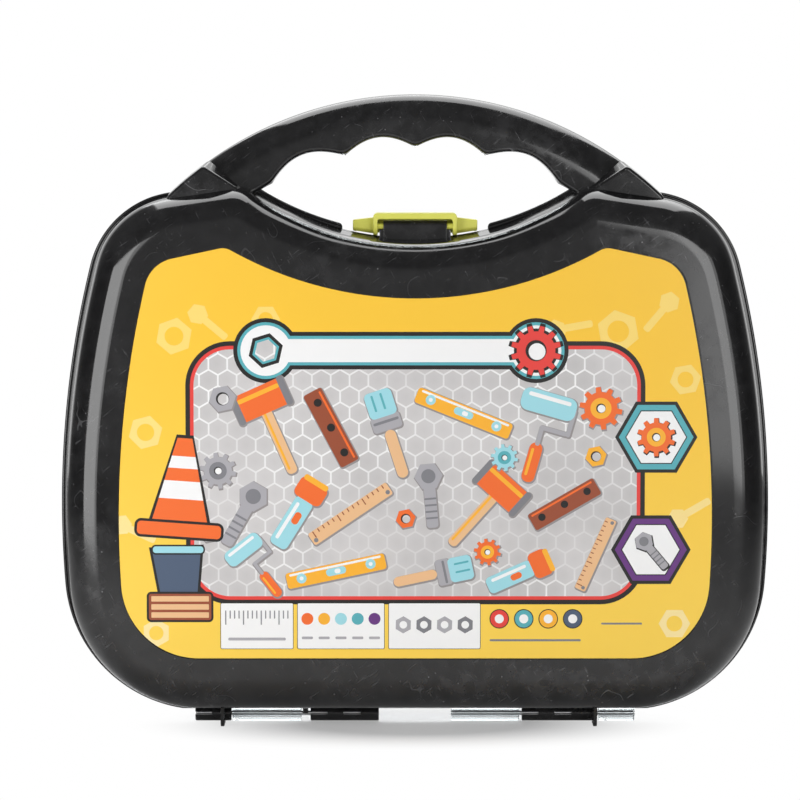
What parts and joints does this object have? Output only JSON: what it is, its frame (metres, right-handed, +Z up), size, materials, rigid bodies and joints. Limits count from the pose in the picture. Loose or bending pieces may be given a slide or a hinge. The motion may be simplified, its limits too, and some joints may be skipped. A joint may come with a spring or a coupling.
{
  "type": "toy tool box",
  "caption": "Flat carry case for toy tools: two hinged half shells that open like a book, a curved handle with finger rests, and a swing latch.",
  "frame": {"origin": "on the floor under the middle of the closed case, in the parting plane", "axes": "+X to the right as the label is read, -Y out of the label, +Z up through the handle"},
  "size_m": [0.3004, 0.07, 0.2672],
  "materials": {
    "black_plastic": "glossy black, lightly scuffed",
    "clear_plastic": "clear and glossy",
    "label_print": "printed film, satin",
    "lime_plastic": "lime, satin",
    "pin_steel": "plain drawn wire"
  },
  "bodies": {
    "front": {"front_shell": "black_plastic", "label": "label_print", "hinge_pin_left": "pin_steel", "hinge_pin_right": "pin_steel"},
    "cover": {"rear_cover": "clear_plastic"},
    "latch_body": {"latch": "lime_plastic"}
  },
  "joints": [
    {"name": "cover_hinge", "type": "hinge", "parent": "front", "child": "cover", "pos_m": [0, 0, 0.0037], "axis": [-1, 0, 0], "range_deg": [0, 180]},
    {"name": "latch_hinge", "type": "hinge", "parent": "front", "child": "latch_body", "pos_m": [0, -0.0055, 0.2117], "axis": [1, 0, 0], "range_deg": [0, 95]}
  ]
}
